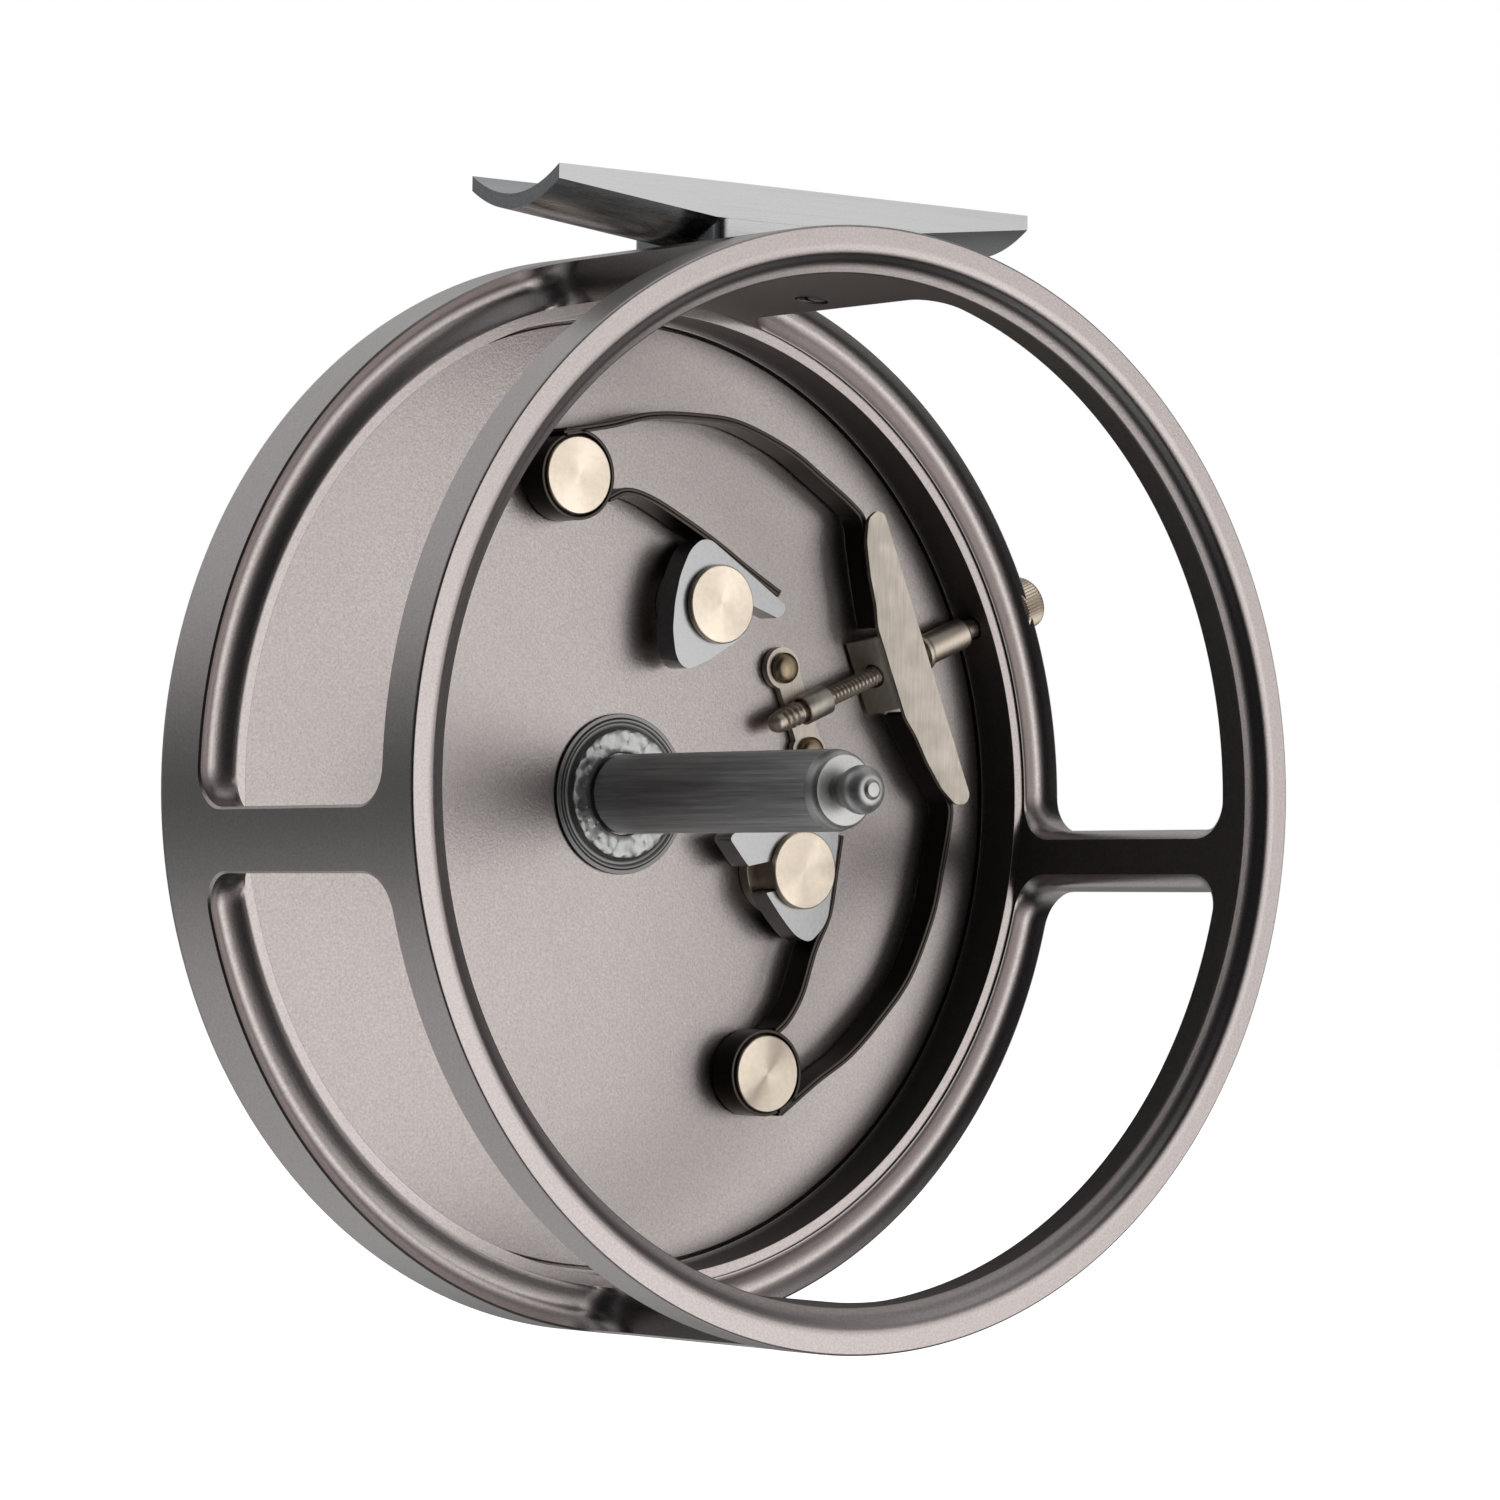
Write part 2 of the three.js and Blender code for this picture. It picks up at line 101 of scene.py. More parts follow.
# ---- foot and check dimensions ---------------------------------------------------------
FOOT_LOW, FOOT_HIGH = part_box("reel_foot")
FOOT_Y = ((FOOT_LOW.y + FOOT_HIGH.y) / 2 - cage_low.y) / MM
FOOT_HALF_WIDTH = (FOOT_HIGH.y - FOOT_LOW.y) / 2 / MM
FOOT_HALF_LENGTH = (FOOT_HIGH.x - FOOT_LOW.x) / 2 / MM
FOOT_TOP = 56.9
TROUGH = 2.2
FOOT_END = 1.4
FOOT_DROP = 2.0
FOOT_TAPER = 10.0
PEDESTAL = 9.6
FOOT_SCREW_X = 7
SCREW_HOLE = 1.25
RIVET_TAIL = -2.1
SPRING_POST = (4.3, 31.4)
PAWL_POST = (15.2, 14.05)
RIVET = (23.1, 4.5)
SPRING_HEIGHTS = (0.3, 3.4)
COIL_RADIUS = 4.4
COIL_TIGHTENING = 0.38
LEAF = 0.34
SIDES = (("upper", 1), ("lower", -1))


# ---- mesh helpers ----------------------------------------------------------------------
def mesh_object(name, points, faces, matrix):
    """A piece from its points in millimetres, which the matrix puts in place."""
    mesh = bpy.data.meshes.new(name)
    mesh.from_pydata([matrix @ Vector(p) for p in points], [], faces)
    obj = bpy.data.objects.new(name, mesh)
    bpy.context.scene.collection.objects.link(obj)
    tidy_mesh(obj)
    return obj


def tidy_mesh(obj, sharp_degrees=28):
    """Faces point out, and shade smooth except across real edges."""
    bm = bmesh.new()
    bm.from_mesh(obj.data)
    bmesh.ops.remove_doubles(bm, verts=bm.verts, dist=1e-8)
    bmesh.ops.recalc_face_normals(bm, faces=bm.faces)
    limit = math.radians(sharp_degrees)
    for face in bm.faces:
        face.smooth = True
    for edge in bm.edges:
        edge.smooth = len(edge.link_faces) == 2 and edge.calc_face_angle() < limit
    bm.to_mesh(obj.data)
    bm.free()


def apply_modifiers(obj):
    """Makes what the modifiers give the object's own mesh."""
    graph = bpy.context.evaluated_depsgraph_get()
    mesh = bpy.data.meshes.new_from_object(obj.evaluated_get(graph))
    obj.modifiers.clear()
    obj.data = mesh


def flatten_shading(obj):
    """Lets the broad faces keep their own normals, so that only the small edges look round."""
    modifier = obj.modifiers.new("normals", "WEIGHTED_NORMAL")
    modifier.keep_sharp = True
    apply_modifiers(obj)


def combine(obj, others, operation):
    """Joins or cuts obj with others, which are used up."""
    for other in others:
        modifier = obj.modifiers.new("combine", "BOOLEAN")
        modifier.operation = operation
        modifier.solver = "EXACT"
        modifier.object = other
    apply_modifiers(obj)
    tidy_mesh(obj)
    for other in others:
        bpy.data.objects.remove(other)


def cut(obj, *cutters):
    combine(obj, cutters, "DIFFERENCE")


def join(obj, *others):
    combine(obj, others, "UNION")


def bevel(obj, width, segments, degrees):
    modifier = obj.modifiers.new("bevel", "BEVEL")
    modifier.width = width * MM
    modifier.segments = segments
    modifier.limit_method = "ANGLE"
    modifier.angle_limit = math.radians(degrees)
    modifier.use_clamp_overlap = True
    apply_modifiers(obj)
    tidy_mesh(obj)


def softened(profile, steps=4):
    """Rounds each corner that carries a third number, its radius."""
    closed = profile[0][:2] == profile[-1][:2]
    made = []
    last = len(profile) - 1
    for i, point in enumerate(profile):
        here = Vector(point[:2])
        end = i in (0, last) and not closed
        if len(point) < 3 or end or (closed and i == last):
            made.append(here)
            continue
        before = Vector(profile[i - 1 if i else last - 1][:2]) - here
        after = Vector(profile[i + 1][:2]) - here
        radius = min(point[2], before.length * 0.49, after.length * 0.49)
        start = here + before.normalized() * radius
        finish = here + after.normalized() * radius
        for k in range(steps + 1):
            t = k / steps
            made.append(start * (1 - t) ** 2 + here * 2 * t * (1 - t) + finish * t * t)
    if closed:
        made[-1] = made[0]
    return made


def turned(name, profile, matrix, segments, shape=None):
    """Turns a profile of (radius, along) about local z; shape may move each point."""
    rows = softened(profile)
    closed = (rows[0] - rows[-1]).length < 1e-9
    if closed:
        rows = rows[:-1]
    points, index = [], []
    for radius, along in rows:
        if radius < 1e-6:
            index.append([len(points)] * segments)
            points.append((0, 0, along))
            continue
        index.append([len(points) + k for k in range(segments)])
        for k in range(segments):
            angle = 2 * math.pi * k / segments
            r, a = shape(radius, along, angle) if shape else (radius, along)
            points.append((r * math.cos(angle), r * math.sin(angle), a))
    faces = []
    pairs = list(zip(index, index[1:])) + ([(index[-1], index[0])] if closed else [])
    for low, high in pairs:
        for k in range(segments):
            n = (k + 1) % segments
            corners = list(dict.fromkeys((low[k], low[n], high[n], high[k])))
            if len(corners) > 2:
                faces.append(corners)
    return mesh_object(name, points, faces, matrix)


def prism(name, outline, low, high, matrix):
    """An outline of (x, y) points stood up from low to high along local z."""
    count = len(outline)
    points = [(x, y, low) for x, y in outline] + [(x, y, high) for x, y in outline]
    faces = [list(range(count))[::-1], list(range(count, 2 * count))]
    faces += [(k, (k + 1) % count, count + (k + 1) % count, count + k) for k in range(count)]
    return mesh_object(name, points, faces, matrix)


def rounded(outline, radius, steps=6):
    """A closed outline with every corner rounded."""
    corners = [(*point, radius) for point in outline]
    return softened(corners + [corners[0]], steps)[:-1]


def circle(radius, count, centre=(0, 0)):
    """Points round a circle."""
    turns = (2 * math.pi * k / count for k in range(count))
    return [(centre[0] + radius * math.cos(a), centre[1] + radius * math.sin(a)) for a in turns]


def smooth_line(points):
    """A Catmull-Rom line through the points."""
    steps = 10
    ends = [Vector(p) for p in (points[0], *points, points[-1])]
    ends[0] = ends[1] * 2 - ends[2]
    ends[-1] = ends[-2] * 2 - ends[-3]
    made = []
    for a, b, c, d in zip(ends, ends[1:], ends[2:], ends[3:]):
        for k in range(steps):
            t = k / steps
            square = 2 * a - 5 * b + 4 * c - d
            cube = 3 * b - a - 3 * c + d
            made.append(0.5 * (2 * b + (c - a) * t + square * t * t + cube * t ** 3))
    return made + [ends[-2]]


def offset(line, distance):
    """The line moved sideways by a distance."""
    made = []
    for i, here in enumerate(line):
        along = (line[min(i + 1, len(line) - 1)] - line[max(i - 1, 0)]).normalized()
        made.append(here + Vector((-along.y, along.x)) * distance)
    return made


def strip(name, line, thickness, low, high, matrix):
    """A flat strip on edge that follows a line of (u, v) points."""
    points = []
    for here, there in zip(offset(line, thickness / 2), offset(line, -thickness / 2)):
        points += [(here.x, here.y, low), (here.x, here.y, high)]
        points += [(there.x, there.y, high), (there.x, there.y, low)]
    faces = [(0, 1, 2, 3), tuple(len(points) - k for k in (1, 2, 3, 4))]
    for i in range(len(line) - 1):
        for k in range(4):
            n = (k + 1) % 4
            faces.append((4 * i + k, 4 * i + n, 4 * i + 4 + n, 4 * i + 4 + k))
    obj = mesh_object(name, points, faces, matrix)
    bevel(obj, 0.07, 2, 40)
    return obj


def dress(obj, material, body, slot, *nodes):
    """Gives a piece its material and its body, and hides the CAD nodes it stands for. The slot
    argument is not used.
    """
    flatten_shading(obj)
    obj.data.materials.clear()
    obj.data.materials.append(material)
    if body:
        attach(obj, body)
    if nodes:
        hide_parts(*nodes)


def paint(obj, material, chosen):
    """Gives a second material to the faces that chosen says yes to."""
    obj.data.materials.append(material)
    for face in obj.data.polygons:
        if chosen(face):
            face.material_index = 1


def from_axis(face):
    """From the spindle's axis straight out to the middle of a face."""
    return Vector((face.center.x, 0, face.center.z - AXIS_Z))


# ---- materials -------------------------------------------------------------------------
NOISE_LOW = 0.3
NOISE_HIGH = 0.7


class Shader:
    """A metallic Principled material and the few node chains that the metals share."""

    def __init__(self, name, color, roughness):
        self.material = bpy.data.materials.new(name)
        self.material.use_nodes = True
        self.nodes = self.material.node_tree.nodes
        self.links = self.material.node_tree.links
        self.surface = self.nodes["Principled BSDF"]
        self.color = color
        self.roughness = roughness
        self.surface.inputs["Base Color"].default_value = (*color, 1)
        self.surface.inputs["Roughness"].default_value = roughness
        self.surface.inputs["Metallic"].default_value = 1
        self.coordinates = self.nodes.new("ShaderNodeTexCoord")
        self.normal = None

    def add(self, kind, **values):
        node = self.nodes.new(kind)
        for key, value in values.items():
            setattr(node, key, value)
        return node

    def noise(self, scale, detail, roughness, squeeze=(1, 1, 1)):
        """Noise that squeeze packs closer along some axes, so that it makes streaks."""
        mapping = self.add("ShaderNodeMapping")
        mapping.inputs["Scale"].default_value = squeeze
        self.links.new(self.coordinates.outputs["Object"], mapping.inputs["Vector"])
        node = self.add("ShaderNodeTexNoise")
        node.inputs["Scale"].default_value = scale
        node.inputs["Detail"].default_value = detail
        node.inputs["Roughness"].default_value = roughness
        self.links.new(mapping.outputs["Vector"], node.inputs["Vector"])
        return node.outputs["Fac"]

    def rings(self, scale):
        """Noise that depends only on the distance from the piece's own middle line along y."""
        shift = self.add("ShaderNodeVectorMath", operation="SUBTRACT")
        shift.inputs[1].default_value = (0.5, 0.5, 0.5)
        flat = self.add("ShaderNodeVectorMath", operation="MULTIPLY")
        flat.inputs[1].default_value = (1, 0, 1)
        length = self.add("ShaderNodeVectorMath", operation="LENGTH")
        self.links.new(self.coordinates.outputs["Generated"], shift.inputs[0])
        self.links.new(shift.outputs[0], flat.inputs[0])
        self.links.new(flat.outputs[0], length.inputs[0])
        noise = self.add("ShaderNodeTexNoise", noise_dimensions="1D")
        noise.inputs["Scale"].default_value = scale
        noise.inputs["Detail"].default_value = 4.0
        self.links.new(length.outputs["Value"], noise.inputs["W"])
        return noise.outputs["Fac"]

    def bump(self, height, strength, distance):
        node = self.add("ShaderNodeBump")
        node.inputs["Strength"].default_value = strength
        node.inputs["Distance"].default_value = distance
        self.links.new(height, node.inputs["Height"])
        if self.normal:
            self.links.new(self.normal, node.inputs["Normal"])
        self.normal = node.outputs["Normal"]
        self.links.new(self.normal, self.surface.inputs["Normal"])

    def mottle(self, factor, spread):
        """Colour a little lighter and darker with a factor."""
        low = tuple(c * (1 - spread) for c in self.color)
        high = tuple(min(1, c * (1 + spread)) for c in self.color)
        ramp = self.add("ShaderNodeValToRGB")
        ramp.color_ramp.elements[0].position = NOISE_LOW
        ramp.color_ramp.elements[1].position = NOISE_HIGH
        ramp.color_ramp.elements[0].color = (*low, 1)
        ramp.color_ramp.elements[1].color = (*high, 1)
        self.links.new(factor, ramp.inputs["Fac"])
        self.links.new(ramp.outputs["Color"], self.surface.inputs["Base Color"])

    def vary_roughness(self, factor, spread):
        node = self.add("ShaderNodeMapRange")
        node.inputs["From Min"].default_value = NOISE_LOW
        node.inputs["From Max"].default_value = NOISE_HIGH
        node.inputs["To Min"].default_value = self.roughness - spread
        node.inputs["To Max"].default_value = self.roughness + spread
        self.links.new(factor, node.inputs["Value"])
        self.links.new(node.outputs["Result"], self.surface.inputs["Roughness"])

    def anisotropy(self, amount):
        """Stretches highlights across the rings of a piece turned about y."""
        quarter_turn = 0.25
        self.surface.inputs["Anisotropic"].default_value = amount
        self.surface.inputs["Anisotropic Rotation"].default_value = quarter_turn
        tangent = self.add("ShaderNodeTangent", direction_type="RADIAL", axis="Y")
        self.links.new(tangent.outputs["Tangent"], self.surface.inputs["Tangent"])


def blasted_metal(name, color, roughness):
    """Bead-blasted, clear-anodised alloy with faint turning marks under the blast."""
    shader = Shader(name, color, roughness)
    grain = shader.noise(4200, 4, 0.7)
    patches = shader.noise(60, 3, 0.55)
    lines = shader.noise(5200, 3, 0.7, (0, 1, 0))
    shader.mottle(grain, 0.16)
    shader.vary_roughness(patches, 0.01)
    shader.bump(lines, 0.05, 0.00002)
    shader.bump(grain, 0.5, 0.00003)
    return shader.material


def plate_metal():
    """The same alloy as the cage with a slightly rougher blast, and no turning marks."""
    shader = Shader("blasted_plate", (0.49, 0.44, 0.43), 0.31)
    grain = shader.noise(3600, 4, 0.75)
    patches = shader.noise(90, 3, 0.6)
    shader.mottle(grain, 0.2)
    shader.vary_roughness(patches, 0.008)
    shader.bump(grain, 0.7, 0.00004)
    return shader.material


def foot_metal():
    """Silver alloy, polished and then drawn lengthwise."""
    shader = Shader("drawn_alloy", (0.54, 0.54, 0.55), 0.27)
    streaks = shader.noise(1, 4, 0.7, (60, 3000, 3000))
    shader.mottle(streaks, 0.1)
    shader.vary_roughness(streaks, 0.08)
    shader.bump(streaks, 0.12, 0.00002)
    return shader.material


def spindle_metal():
    """Ground steel with lengthwise wear streaks."""
    shader = Shader("spindle_steel", (0.86, 0.86, 0.88), 0.58)
    streaks = shader.noise(1, 4, 0.7, (2600, 60, 2600))
    shader.mottle(streaks, 0.35)
    shader.vary_roughness(streaks, 0.07)
    shader.bump(streaks, 0.15, 0.00003)
    return shader.material


def steel(name, color, roughness):
    """Plain metal with a fine even grain."""
    shader = Shader(name, color, roughness)
    grain = shader.noise(2600, 4, 0.7)
    shader.mottle(grain, 0.12)
    shader.vary_roughness(grain, 0.05)
    shader.bump(grain, 0.15, 0.00002)
    return shader.material


def brushed_nickel():
    """Nickel silver drawn in one direction, a little tarnished."""
    shader = Shader("nickel_silver", (0.72, 0.645, 0.57), 0.46)
    streaks = shader.noise(1, 4, 0.6, (5200, 900, 300))
    tarnish = shader.noise(400, 3, 0.6)
    shader.mottle(streaks, 0.1)
    shader.vary_roughness(tarnish, 0.06)
    shader.bump(streaks, 0.2, 0.00002)
    return shader.material


def turned_metal(name, color, roughness):
    """Metal faced in a lathe: fine rings that drag the highlight into cones."""
    shader = Shader(name, color, roughness)
    marks = shader.rings(90)
    grain = shader.noise(1500, 3, 0.6)
    shader.mottle(grain, 0.06)
    shader.bump(marks, 0.12, 0.00003)
    shader.anisotropy(0.9)
    return shader.material


BLASTED = blasted_metal("blasted_alloy", (0.52, 0.465, 0.455), 0.3)
# The bore's darker colour is painted shade from the cage's own walls; only its higher roughness is
# a real duller finish.
BORE_PAINTED_SHADE = blasted_metal("blasted_alloy_painted_bore_shade", (0.24, 0.22, 0.215), 0.5)
PLATE = plate_metal()
FOOT = foot_metal()
SPINDLE = spindle_metal()
BRIGHT = steel("bright_steel", (0.72, 0.71, 0.7), 0.45)
STAKED = steel("staked_steel", (0.54, 0.54, 0.54), 0.38)
SCREW = steel("screw_nickel_silver", (0.85, 0.74, 0.63), 0.45)
DARK = steel("dark_steel", (0.28, 0.275, 0.275), 0.4)
PAWL = steel("pawl_steel", (0.56, 0.56, 0.57), 0.36)
SPRING = steel("browned_spring_steel", (0.085, 0.072, 0.064), 0.34)
BRASS = turned_metal("turned_pale_brass", (0.95, 0.82, 0.68), 0.3)
AGED = steel("aged_brass", (0.42, 0.33, 0.22), 0.33)
KNOB = steel("knurled_nickel_silver", (0.76, 0.66, 0.54), 0.4)
NICKEL = brushed_nickel()


# ---- cage ------------------------------------------------------------------------------
def cage_body():
    profile = [
        (52.25, 0, 0.1), (RIM, 0.18, 0.1), (RIM, 40.4, 0.5), (51.8, BACK, 0.4), (49.3, BACK, 0.1),
        (49.3, 40.2), (46.45, 40.2), (46.45, 39.1, 0.04), (RECESS, 39.1),
        (RECESS, STEP, 0.06), (BORE, STEP), (BORE, 1.5, 0.15), (49.0, 1.1, 0.5),
        (49.8, 0.15, 0.35), (50.4, 0, 0.3), (52.25, 0),
    ]
    profile[-1] = profile[0]
    return turned("cage", profile, ALONG_Y, 256)


def window_edge(across, low, high):
    """Front and rear edge of a window at a distance across, measured round the wall in mm."""
    def pull(distance):
        if distance >= WINDOW_CORNER:
            return 0
        return WINDOW_CORNER - math.sqrt(WINDOW_CORNER ** 2 - (WINDOW_CORNER - distance) ** 2)

    inset = pull(min(across - low, high - across))
    return FRONT_RING + inset, REAR_RING - inset


def window_columns(low, high):
    """Distances along a window from low to high, closer together in its corners."""
    turns = [math.pi / 2 * k / CORNER_STEPS for k in range(CORNER_STEPS + 1)]
    corner = [WINDOW_CORNER * (1 - math.cos(turn)) for turn in turns]
    span = high - low - 2 * WINDOW_CORNER
    across = [low + c for c in corner]
    across += [low + WINDOW_CORNER + span * k / WINDOW_STEPS for k in range(1, WINDOW_STEPS)]
    return across + [high - c for c in reversed(corner)]


def window_layers():
    """Radii through the wall, each with the flare that breaks the window's edge there."""
    wall = RIM - BORE - 2 * EDGE_BREAK
    layers = [(BORE - 1, EDGE_BREAK + 1), (BORE + EDGE_BREAK, 0)]
    layers += [(BORE + EDGE_BREAK + wall * k / WALL_STEPS, 0) for k in range(1, WALL_STEPS)]
    return layers + [(RIM - EDGE_BREAK, 0), (RIM + 1, EDGE_BREAK + 1)]


def window_faces(layers, columns):
    """Faces of a block whose points come layer by layer, a front and a rear one per column."""
    faces = []
    row = 2 * columns
    for base in range(0, (layers - 1) * row, row):
        for k in range(columns - 1):
            for side in (0, 1):
                a = base + 2 * k + side
                faces.append((a, a + 2, a + 2 + row, a + row))
        for k in (0, columns - 1):
            a = base + 2 * k
            faces.append((a, a + 1, a + 1 + row, a + row))
    for base in (0, (layers - 1) * row):
        for k in range(columns - 1):
            a = base + 2 * k
            faces.append((a, a + 1, a + 3, a + 2))
    return faces


def window_cutter(index, start, end):
    """A rounded window right through the wall, which leaves the pillars rounded on the inside."""
    middle_radius = (BORE + RIM) / 2
    low, high = (math.radians(a) * middle_radius for a in (start, end))
    centre = (low + high) / 2
    across = window_columns(low, high)
    layers = window_layers()
    points = []
    for radius, flare in layers:
        share = max(0, min(1, (radius - BORE) / (RIM - BORE)))
        cove = COVE_DEPTH * (1 - (2 * share ** 1.3 - 1) ** 2) + REAR_LIP * (1 - share)
        rounding = 0.6 * PILLAR_ROUND * max(0, 1 - max(0, radius - BORE) / PILLAR_ROUND) ** 2
        # The step behind the windows keeps a square edge at the bore: only the outside flares.
        rear_flare = flare if radius > BORE + 1 else 0
        for along in across:
            front, back = window_edge(along, low, high)
            stretched = centre + (along - centre) * (1 + (flare + rounding) / (high - centre))
            angle = stretched / middle_radius
            x, z = radius * math.cos(angle), radius * math.sin(angle)
            points.append((x, front - flare, z))
            points.append((x, back + rear_flare + cove, z))
    return mesh_object(f"window_{index}", points, window_faces(len(layers), len(across)), REEL)


def box_cutter(name, centre, size):
    """A block with rounded upright edges."""
    half = Vector(size) / 2
    outline = [(-half.x, -half.y), (half.x, -half.y), (half.x, half.y), (-half.x, half.y)]
    return prism(name, rounded(outline, 1.2), -half.z, half.z, REEL @ Matrix.Translation(centre))


def make_cage():
    """The cage with its windows, foot pocket and screw holes; the bore is duller, and darker as
    painted shade.
    """
    obj = cage_body()
    spans = [
        (SIDE_PILLAR[1], TOP_PILLAR[0]), (TOP_PILLAR[1], 180 - SIDE_PILLAR[1]),
        (180 - SIDE_PILLAR[0], BOTTOM_PILLAR[0]), (BOTTOM_PILLAR[1], 360 + SIDE_PILLAR[0]),
    ]
    cutters = [window_cutter(i, *span) for i, span in enumerate(spans)]
    pocket = box_cutter("pocket", (0, FOOT_Y, SEAT + 3), (*POCKET, 6))
    hole = turned("hole", [(0, 45), (SCREW_HOLE, 45), (SCREW_HOLE, 54), (0, 54)], ALONG_U, 48)
    spot = turned("spot", [(0, 51.9), (3.3, 51.9), (3.3, 56), (0, 56)], ALONG_U, 64)
    cut(obj, *cutters, pocket, hole, spot)
    for side in (-1, 1):
        place = REEL @ Matrix.Translation((side * FOOT_SCREW_X, FOOT_Y, 0))
        profile = [(0, 46), (1.6, 46), (1.6, 48.3), (1.1, 48.8), (1.1, 53), (0, 53)]
        cut(obj, turned("sink", profile, place, 48))
    dress(obj, BLASTED, "cage", "cage", "frame")

    def on_shaded_bore(face):
        out = from_axis(face)
        return face.normal.dot(out) < -0.9 * out.length and out.length < (BORE + 0.3) * MM

    # Painted shade: the bore and the pillars' inner faces get the darker copy of the alloy.
    paint(obj, BORE_PAINTED_SHADE, on_shaded_bore)


def make_back_plate():
    """The disc that closes the back and carries the check."""
    profile = [
        (0, FLOOR), (46.1, FLOOR, 0.05), (46.2, FLOOR + 0.1), (46.2, 40.4), (49, 40.4, 0.05),
        (49, 41.3, 0.15), (0, 41.3),
    ]
    obj = turned("back_plate_disc", profile, ALONG_Y, 256)
    dress(obj, PLATE, "cage", "cage", "back_plate")


# ---- foot ------------------------------------------------------------------------------
def foot_section(x):
    """Outline of the foot across its length at x, as (y, z) points."""
    samples = 28
    half = FOOT_HALF_WIDTH
    from_end = FOOT_HALF_LENGTH - max(abs(x), FOOT_TAPER)
    drop = FOOT_DROP * from_end / (FOOT_HALF_LENGTH - FOOT_TAPER)
    ts = [2 * k / samples - 1 for k in range(samples + 1)]
    top = [(t * half, FOOT_TOP - TROUGH * (1 - t * t)) for t in ts]
    under = [(t * half, FOOT_TOP - FOOT_END - TROUGH * (1 - t * t) - drop) for t in reversed(ts)]
    return top + under


def make_foot():
    """Two troughed wings in one sweep, joined to the pedestal in the pocket."""
    stations = [-FOOT_HALF_LENGTH, -22, -16, -FOOT_TAPER, 0, FOOT_TAPER, 16, 22, FOOT_HALF_LENGTH]
    points, faces = [], []
    count = len(foot_section(0))
    for x in stations:
        points += [(x, FOOT_Y + y, z) for y, z in foot_section(x)]
    for j in range(len(stations) - 1):
        for k in range(count):
            a, b = j * count + k, j * count + (k + 1) % count
            faces.append((a, b, b + count, a + count))
    faces.append(tuple(range(count)))
    faces.append(tuple(range((len(stations) - 1) * count, len(stations) * count)))
    obj = mesh_object("foot", points, faces, REEL)
    half = FOOT_HALF_WIDTH - 0.01
    outline = [(-PEDESTAL, -half), (PEDESTAL, -half), (PEDESTAL, half), (-PEDESTAL, half)]
    low, high = SEAT + 0.3, FOOT_TOP - TROUGH - 1.2
    place = REEL @ Matrix.Translation((0, FOOT_Y, 0))
    base = prism("pedestal", rounded(outline, 1.2), low, high, place)
    join(obj, base)
    bevel(obj, 0.25, 3, 35)
    dress(obj, FOOT, "cage", "foot", "reel_foot")


def make_foot_screws():
    """Countersunk screws, put in from inside the top pillar."""
    for name, side in (("left", -1), ("right", 1)):
        place = REEL @ Matrix.Translation((side * FOOT_SCREW_X, FOOT_Y, 0))
        profile = [
            (0, 47.4), (1.2, 47.4, 0.1), (1.4, 47.6), (1.4, 48.3), (0.9, 48.8),
            (0.9, 52.4, 0.2), (0, 52.4),
        ]
        obj = turned(f"foot_screw_{name}_head", profile, place, 48)
        turn = Matrix.Rotation(0.5 * side, 4, "Z")
        slot = prism("slot", [(-3, -0.2), (3, -0.2), (3, 0.2), (-3, 0.2)], 46, 47.8, place @ turn)
        cut(obj, slot)
        dress(obj, DARK, "cage", "dark_steel", f"foot_screw_{name}")


# ---- spindle ---------------------------------------------------------------------------
def make_spindle():
    """A ground pin with a ball-shaped stub and a small pip in front of its end face."""
    profile = [
        (0, 0.1), (0.72, 0.12, 0.1), (0.9, 0.4, 0.15), (1.45, 0.5, 0.3), (2.25, 1.2, 0.5),
        (2.35, 2.1, 0.6), (2.05, 3, 0.5), (1.6, 3.5, 0.3), (1.6, 4.3, 0.1), (3.35, 4.35, 0.1),
        (3.7, 4.75, 0.25), (3.86, 5.6, 0.2), (3.9, 5.65), (3.9, 38.3, 0.1), (3, 38.4),
        (3, 41.1, 0.1), (0, 41.1),
    ]
    obj = turned("spindle_pin", profile, ALONG_Y, 128)
    dress(obj, SPINDLE, "cage", "dark_steel", "spindle")
    stub_end = cage_low.y + 5.6 * MM
    paint(obj, BRIGHT, lambda face: face.center.y < stub_end)


def make_collar():
    """The staked collar: its inner part is struck down unevenly, and its rim is darker."""
    def struck(radius, along, angle):
        if not 4.2 < radius < 6.3:
            return radius, along
        uneven = math.sin(11 * angle) + 0.8 * math.sin(17 * angle + 4 * radius)
        uneven += 0.6 * math.sin(29 * angle - 7 * radius)
        return radius, along + 0.05 * max(-1, uneven)

    profile = [
        (4.05, 39.1), (4.05, 38.5, 0.1), (4.4, 38.4), (4.8, 38.35), (5.2, 38.4), (5.6, 38.35),
        (6, 38.35), (6.3, 38.45, 0.1), (6.5, 38.9, 0.2), (6.9, 39.0, 0.1), (7.05, 38.8, 0.1),
        (7.3, 38.75, 0.1), (7.45, 38.95, 0.1), (7.87, 38.9, 0.1), (7.87, 39.1), (4.05, 39.1),
    ]
    obj = turned("spindle_collar_ring", profile, ALONG_Y, 240, struck)
    dress(obj, STAKED, "cage", "dark_steel", "spindle_collar")
    struck_edge = 6.25 * MM
    paint(obj, DARK, lambda face: from_axis(face).length > struck_edge)


def make_spindle_screw():
    """The low slotted screw that holds the spindle from behind the plate."""
    profile = [
        (0, 38), (1.6, 38), (1.6, 41.5), (4.6, 41.5, 0.1), (4.45, 42.1, 0.3), (3, 42.6, 0.6),
        (0, 42.8),
    ]
    obj = turned("spindle_screw_head", profile, ALONG_Y, 64)
    slot = prism("slot", [(-6, -0.45), (6, -0.45), (6, 0.45), (-6, 0.45)], 42, 44, ALONG_Y)
    cut(obj, slot)
    dress(obj, DARK, "cage", "dark_steel", "spindle_screw")


